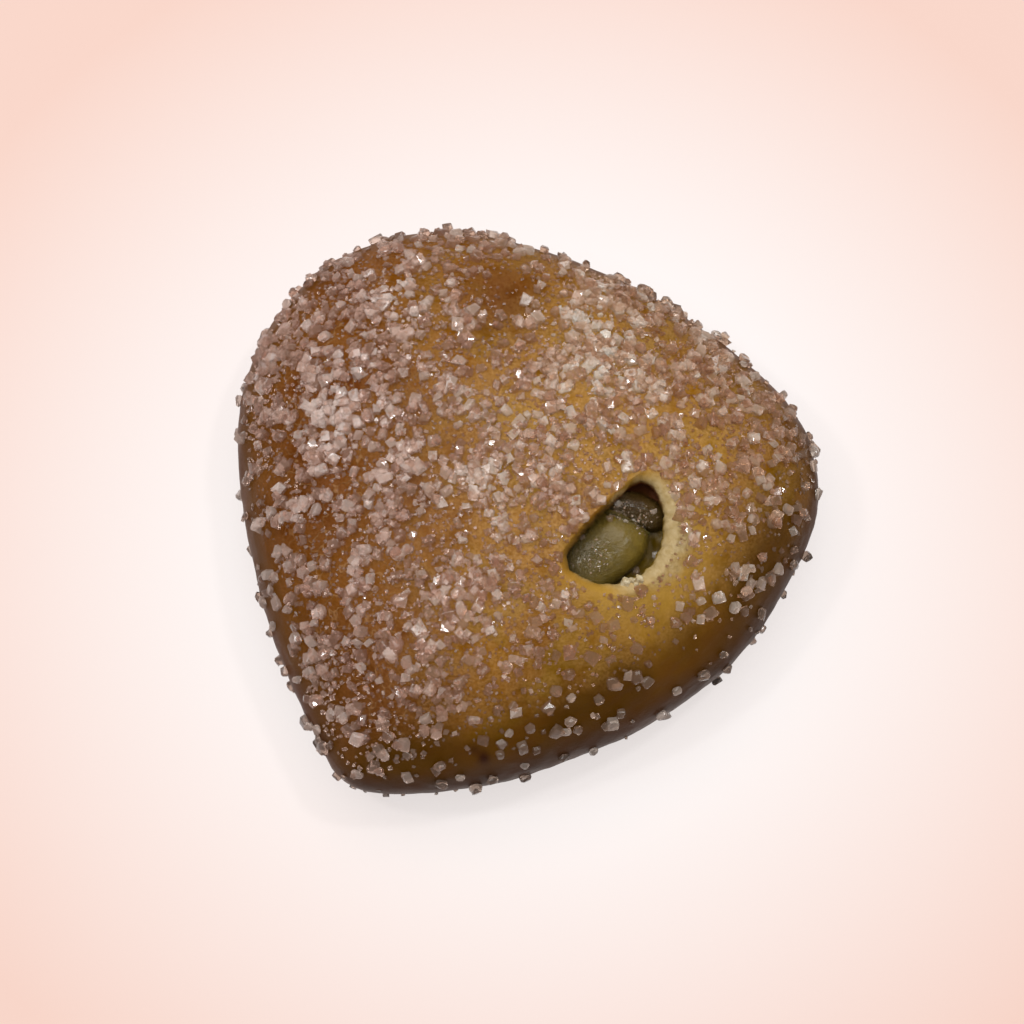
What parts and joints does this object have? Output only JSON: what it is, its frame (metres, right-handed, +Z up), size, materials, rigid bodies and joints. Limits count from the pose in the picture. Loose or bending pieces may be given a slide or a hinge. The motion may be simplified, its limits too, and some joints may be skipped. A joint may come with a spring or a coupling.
{
  "type": "apple turnover",
  "caption": "Puffed three-cornered apple pastry, coated in coarse sugar, with a round vent in its top that shows the apple filling.",
  "frame": {"origin": "middle of the flat base, at the height of the table it lies on", "axes": "+Z up through the sugared top, -Y towards the front, where the sharp corner points to the front left; the vent is on the +X, -Y side"},
  "size_m": [0.1064, 0.1057, 0.0373],
  "materials": {
    "sugared_crust": "golden to brown baked crust, satin, coated in clear coarse sugar crystals",
    "apple_filling": "wet, dark olive syrup",
    "cooked_apple": "wet, translucent olive-brown cooked apple"
  },
  "bodies": {
    "root": {"pastry": "sugared_crust", "apple_filling": "apple_filling", "apple_piece_front": "cooked_apple", "apple_piece_back": "cooked_apple"}
  },
  "joints": []
}
